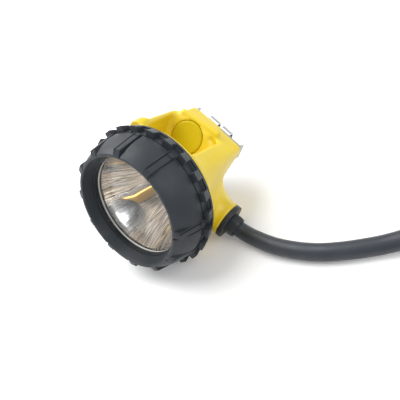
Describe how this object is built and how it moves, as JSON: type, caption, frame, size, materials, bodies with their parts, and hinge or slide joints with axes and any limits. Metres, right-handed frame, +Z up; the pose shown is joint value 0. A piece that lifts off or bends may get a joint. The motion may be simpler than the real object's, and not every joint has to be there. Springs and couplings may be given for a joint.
{
  "type": "corded miner's cap lamp",
  "caption": "Corded miner's cap lamp: yellow headpiece with a black screw bezel, rear push button, steel cap hook, cable gland and a coiled lead with ring tags.",
  "frame": {"origin": "on the floor under the middle of the headpiece's box, as the lamp lies on its bezel rim, its cable gland and the foot of its rear face", "axes": "+Z up from the floor, +X towards the cable gland and the cord, and the beam leaves towards -Y, tilted up by about 20 degrees"},
  "size_m": [0.2836, 0.1586, 0.0744],
  "materials": {
    "grip_rubber": "matte moulded rubber",
    "black_plastic": "satin moulding",
    "white_plastic": "smooth moulding",
    "white_rubber": "smooth",
    "lens": "clear and polished",
    "black_rubber": "smooth",
    "mirror_coat": "polished inside",
    "phosphor": "smooth",
    "aluminium": "as cast",
    "steel": "plain",
    "circuit_green": "smooth",
    "cord_jacket": "satin",
    "lead_red": "smooth",
    "lead_black": "smooth",
    "housing_yellow": "satin moulding, slightly worn",
    "button_yellow": "matte",
    "bright_steel": "bright pressed sheet",
    "dark_steel": "dark oxide",
    "tinned": "tinned copper"
  },
  "bodies": {
    "headpiece": {"lens_gasket": "white_rubber", "lens": "lens", "bezel_seal": "black_rubber", "reflector": "mirror_coat", "led_emitter": "phosphor", "led_board": "white_plastic", "heat_sink": "aluminium", "heat_sink_screws": "steel", "driver_board": "circuit_green", "driver_screws": "steel", "driver_choke": "black_plastic", "gland_flange": "black_plastic", "gland_nut": "black_plastic", "cable_seal": "black_rubber", "cord_anchor": "white_plastic", "cord_end": "cord_jacket", "lead_positive": "lead_red", "lead_negative": "lead_black", "terminal_block": "circuit_green", "housing": "housing_yellow", "lock_screw": "steel", "button_spring": "steel", "button_seal": "black_rubber", "switch_body": "black_plastic", "switch_screws": "steel", "back_plate": "bright_steel", "cap_hook": "bright_steel", "hook_rivets": "steel", "plate_screws": "dark_steel", "cord_run": "cord_jacket", "cord_coil": "cord_jacket", "coil_ties": "black_plastic", "cord_boot": "black_rubber", "tail_positive": "lead_red", "tail_negative": "lead_black", "ring_terminals": "tinned"},
    "slip": {"slip_ring": "white_plastic"},
    "bezel": {"bezel_grip": "grip_rubber", "bezel_ring": "black_plastic"},
    "button": {"switch_button": "button_yellow", "switch_plunger": "white_plastic"}
  },
  "joints": [
    {"name": "bezel_advance", "type": "slide", "parent": "headpiece", "child": "slip", "axis": [0.0991, -0.9375, 0.3335], "range_m": [0, 0.003]},
    {"name": "bezel_turn", "type": "hinge", "parent": "slip", "child": "bezel", "pos_m": [-0.00063, -0.01365, 0.03538], "axis": [0.0991, -0.9375, 0.3335], "range_deg": [0, 720]},
    {"name": "button_press", "type": "slide", "parent": "headpiece", "child": "button", "axis": [-0.3209, 0.6967, -0.6416], "range_m": [0, 0.0012], "stiffness_N_per_m": 900, "springref_m": -0.002, "deforming": ["button_spring"]}
  ],
  "couplings": [
    {"joint": "bezel_advance", "follows": "bezel_turn", "m_per_rad": 0.00023873}
  ]
}
